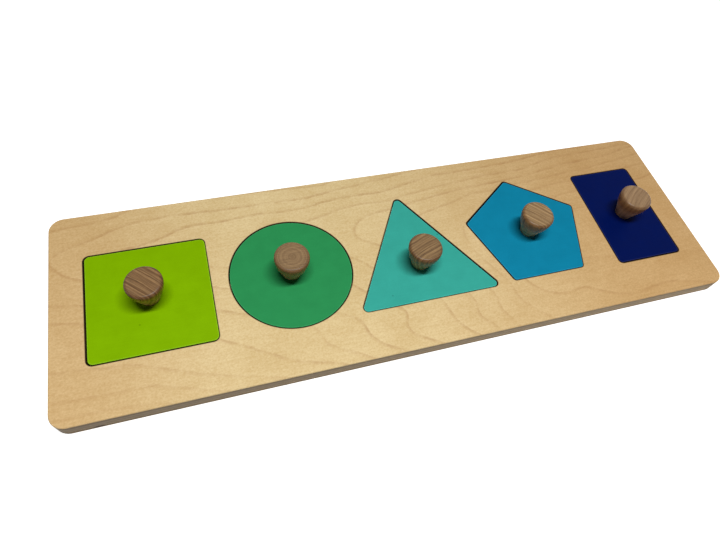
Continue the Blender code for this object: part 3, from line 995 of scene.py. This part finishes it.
class PUZZLE_OT_knobs(bpy.types.Operator):
    """Build the five turned knobs with their blind holes"""

    bl_idname = "shape_puzzle.knobs"
    bl_label = "Knobs"

    def execute(self, context):
        settings = context.scene.puzzle_knobs
        bore_radius = context.scene.puzzle_tiles.shank_hole
        rim_foot = KNOB_HIGH.z - KNOB_LOW.z - settings.rim_radius
        # The knob is seated on the tile, where the CAD model leaves a gap
        foot = TILE_HIGH.z + GLUE_LINE - KNOB_LOW.z
        profile = [(settings.neck_radius, foot)]
        for step in range(FLANK_STEPS + 1):
            share = step / FLANK_STEPS
            swell = math.sin(math.pi / 2 * share ** settings.flank_power)
            radius = settings.neck_radius + (settings.head_radius - settings.neck_radius) * swell
            profile.append((radius, rim_foot * share))
        rim = eased(0.0, settings.rim_radius, rim_foot, steps=RIM_STEPS)[1:]
        profile += [(settings.head_radius - inset, height) for inset, height in rim]
        outline = partial(circle, steps=settings.steps)
        bore_outline = partial(circle, steps=SCREW_STEPS)
        for cutout in CUTOUTS:
            sheet = Sheet()
            rings = sheet.rings(outline, profile)
            sheet.wall(rings, 0)
            sheet.flat([rings[-1]], 0)
            bore = sheet.rings(bore_outline, ((bore_radius, settings.bore_depth), (bore_radius, foot)))
            sheet.wall(bore, 0)
            sheet.flat([bore[0]], 0, upwards=False)
            sheet.flat([rings[0], bore[-1]], 0, upwards=False)
            beech = turned_beech(cutout.name, KNOB_WOODS[cutout.name])
            knob = sheet.finished(f"{cutout.name}_turned_knob", [beech])
            knob.location = (*cutout.tile_centre(), KNOB_LOW.z)
            finish_piece(knob, cutout.body, cutout.name + "_knob")
        return {"FINISHED"}


class PUZZLE_OT_screws(bpy.types.Operator):
    """Build the countersunk wood screw under each knob"""

    bl_idname = "shape_puzzle.screws"
    bl_label = "Screws"

    def execute(self, context):
        settings = context.scene.puzzle_screws
        plating = zinc_plating(settings)
        length = SCREW_HIGH.z - SCREW_LOW.z
        thread_start = settings.head_rim + settings.head_radius - settings.core_radius
        rise = settings.thread_pitch / THREAD_ROWS_PER_TURN
        for cutout in CUTOUTS:
            sheet = Sheet()
            head = ((settings.head_radius, 0.0), (settings.head_radius, settings.head_rim))
            rings = sheet.rings(partial(circle, steps=SCREW_STEPS), head)
            for row in range(int((length - thread_start) / rise) + 1):
                height = thread_start + row * rise
                rings.append(sheet.ring(thread_section(settings, height, thread_start, length), height))
            sheet.wall(rings, 0)
            sheet.flat([rings[-1]], 0)
            recess = [
                sheet.ring(cross(settings.recess_span * share, settings.recess_width * share), height)
                for share, height in ((RECESS_TAPER, settings.recess_depth), (1.0, 0.0))
            ]
            sheet.wall(recess, 0, smooth=False)
            sheet.flat([recess[0]], 0, upwards=False)
            sheet.flat([rings[0], recess[-1]], 0, upwards=False)
            screw = sheet.finished(f"{cutout.name}_wood_screw", [plating])
            screw.location = (*cutout.tile_centre(), SCREW_LOW.z)
            # The round piece turns about its screw, which only lifts
            body = cutout.body if cutout.corners else "round_lifter"
            finish_piece(screw, body, cutout.name + "_screw")
        return {"FINISHED"}


class PUZZLE_OT_stage(bpy.types.Operator):
    """Lay the pale floor, hang the soft lamp and set the camera at the photograph's angle"""

    bl_idname = "shape_puzzle.stage"
    bl_label = "Stage"

    def execute(self, context):
        settings = context.scene.puzzle_stage
        scene = context.scene
        scene.view_settings.view_transform = "Standard"

        shape = bmesh.new()
        bmesh.ops.create_grid(shape, x_segments=1, y_segments=1, size=FLOOR_REACH)
        mesh = bpy.data.meshes.new("floor")
        shape.to_mesh(mesh)
        shape.free()
        floor = place("floor", mesh)
        floor.location.z = -FLOOR_DROP
        floor.data.materials.append(pale_floor(settings))

        world = bpy.data.worlds.new("soft_surround")
        world.use_nodes = True
        world.node_tree.nodes.clear()
        add = partial(add_node, world.node_tree)
        lighting = add("Background", linear_colour("FFFFFF"), settings.surround)
        seen = add("Background", linear_colour("FFFFFF"), 1.0)
        mixed = add("MixShader", seen_directly(add), lighting, seen)
        add("OutputWorld", mixed)
        scene.world = world

        data = bpy.data.lights.new("soft_lamp", "AREA")
        data.shape = "RECTANGLE"
        data.size = settings.lamp_length
        data.size_y = settings.lamp_width
        data.energy = settings.lamp
        lamp = place("soft_lamp", data)
        lamp.location = LAMP_PLACE
        lamp.rotation_euler = [math.radians(turn) for turn in LAMP_TURN]
        lamp.visible_camera = False

        data = bpy.data.cameras.new("camera")
        data.sensor_width = SENSOR_WIDTH
        data.sensor_fit = "HORIZONTAL"
        data.lens = settings.lens
        data.clip_start = NEAREST_SEEN
        camera = place("camera", data)
        camera.location = CAMERA_PLACE
        camera.rotation_euler = [math.radians(angle) for angle in CAMERA_TURN]
        scene.camera = camera
        return {"FINISHED"}


class PUZZLE_PT_sidebar(bpy.types.Panel):
    """The sizes and colours of the puzzle, with a button for each group of pieces"""

    bl_idname = "PUZZLE_PT_sidebar"
    bl_label = "Wooden shape puzzle"
    bl_space_type = "VIEW_3D"
    bl_region_type = "UI"
    bl_category = "Puzzle"

    def draw(self, context):
        for (group, settings_class), operator in zip(SETTINGS.items(), OPERATORS):
            box = self.layout.box()
            box.operator(operator.bl_idname)
            for name in settings_class.__annotations__:
                box.prop(getattr(context.scene, group), name)


OPERATORS = (PUZZLE_OT_board, PUZZLE_OT_tiles, PUZZLE_OT_knobs, PUZZLE_OT_screws, PUZZLE_OT_stage)


def register():
    for group, settings_class in SETTINGS.items():
        bpy.utils.register_class(settings_class)
        setattr(bpy.types.Scene, group, PointerProperty(type=settings_class))
    for listed in (*OPERATORS, PUZZLE_PT_sidebar):
        bpy.utils.register_class(listed)


def unregister():
    for listed in (*OPERATORS, PUZZLE_PT_sidebar):
        bpy.utils.unregister_class(listed)
    for group, settings_class in SETTINGS.items():
        delattr(bpy.types.Scene, group)
        bpy.utils.unregister_class(settings_class)


def main():
    register()
    bpy.ops.shape_puzzle.board()
    bpy.ops.shape_puzzle.tiles()
    bpy.ops.shape_puzzle.knobs()
    bpy.ops.shape_puzzle.screws()
    bpy.ops.shape_puzzle.stage()


if __name__ == "__main__":
    main()
